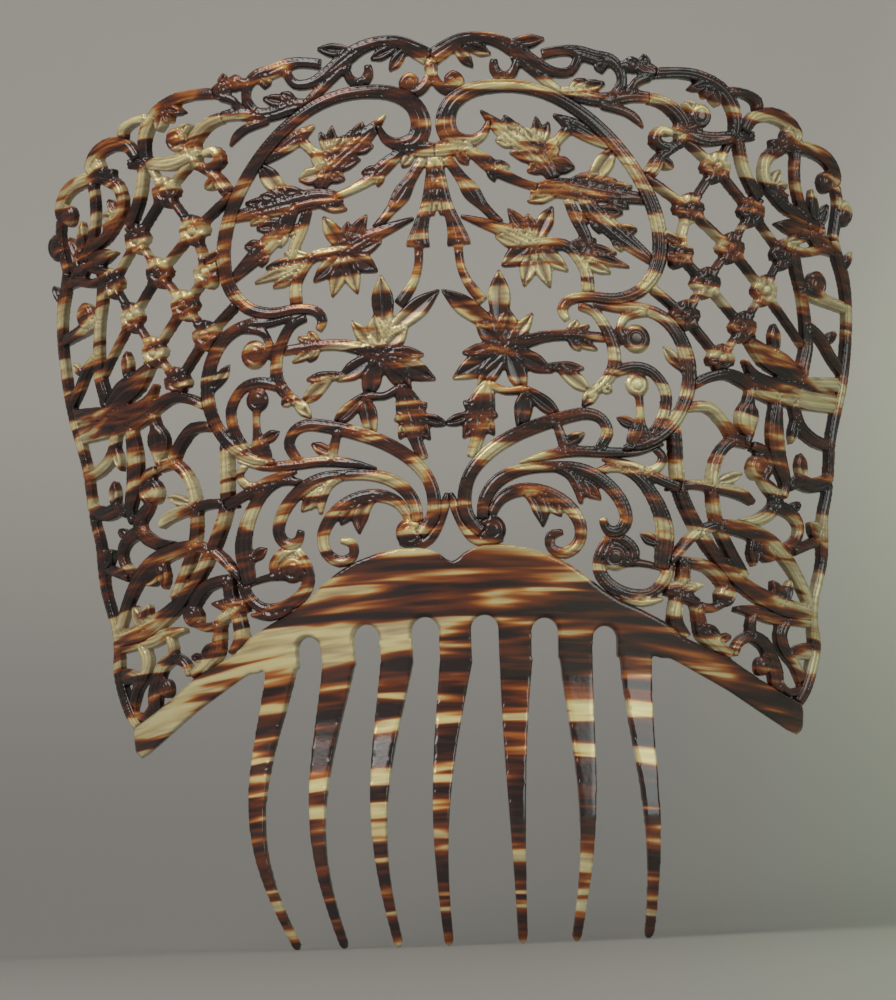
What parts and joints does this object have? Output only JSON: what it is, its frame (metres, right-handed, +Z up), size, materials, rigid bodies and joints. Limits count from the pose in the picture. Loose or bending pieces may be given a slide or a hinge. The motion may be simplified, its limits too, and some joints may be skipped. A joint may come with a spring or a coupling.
{
  "type": "decorative hair comb",
  "caption": "Tall curved hair comb with a pierced scroll, leaf and lattice heading above a plain band and bowed teeth.",
  "frame": {"origin": "hair seat: on the front face at the middle of the line where the teeth leave the band", "axes": "+Z up from the teeth to the crest, +Y from the front (outer, bowed) face towards the hair, +X to the right as seen from the front"},
  "size_m": [0.2236, 0.0778, 0.238],
  "materials": {
    "shell": "polished"
  },
  "bodies": {
    "root": {"band": "shell", "pendant": "shell", "crest_finial": "shell", "tooth_1": "shell", "tooth_2": "shell", "tooth_3": "shell", "tooth_4": "shell", "tooth_5": "shell", "tooth_6": "shell", "tooth_7": "shell", "oval_scroll_right": "shell", "oval_scroll_left": "shell", "middle_scroll_right": "shell", "middle_scroll_left": "shell", "crest_leaf_right": "shell", "crest_leaf_left": "shell", "upper_blossom_right": "shell", "upper_blossom_left": "shell", "lower_blossom_right": "shell", "lower_blossom_left": "shell", "spray_right": "shell", "spray_left": "shell", "leaf_branch_right": "shell", "leaf_branch_left": "shell", "bellflower_right": "shell", "bellflower_left": "shell", "acanthus_outer_right": "shell", "acanthus_outer_left": "shell", "acanthus_middle_right": "shell", "acanthus_middle_left": "shell", "acanthus_inner_right": "shell", "acanthus_inner_left": "shell", "acanthus_wing_right": "shell", "acanthus_wing_left": "shell", "ring_scroll_right": "shell", "ring_scroll_left": "shell", "shoulder_arch_right": "shell", "shoulder_arch_left": "shell", "shoulder_scroll_right": "shell", "shoulder_scroll_left": "shell", "lattice_right": "shell", "lattice_left": "shell", "rim_right": "shell", "rim_left": "shell", "palmette_right": "shell", "palmette_left": "shell", "cross_scroll_right": "shell", "cross_scroll_left": "shell", "lens_frame_right": "shell", "lens_frame_left": "shell", "side_volutes_right": "shell", "side_volutes_left": "shell", "corner_fan_right": "shell", "corner_fan_left": "shell", "corner_scroll_right": "shell", "corner_scroll_left": "shell"}
  },
  "joints": []
}
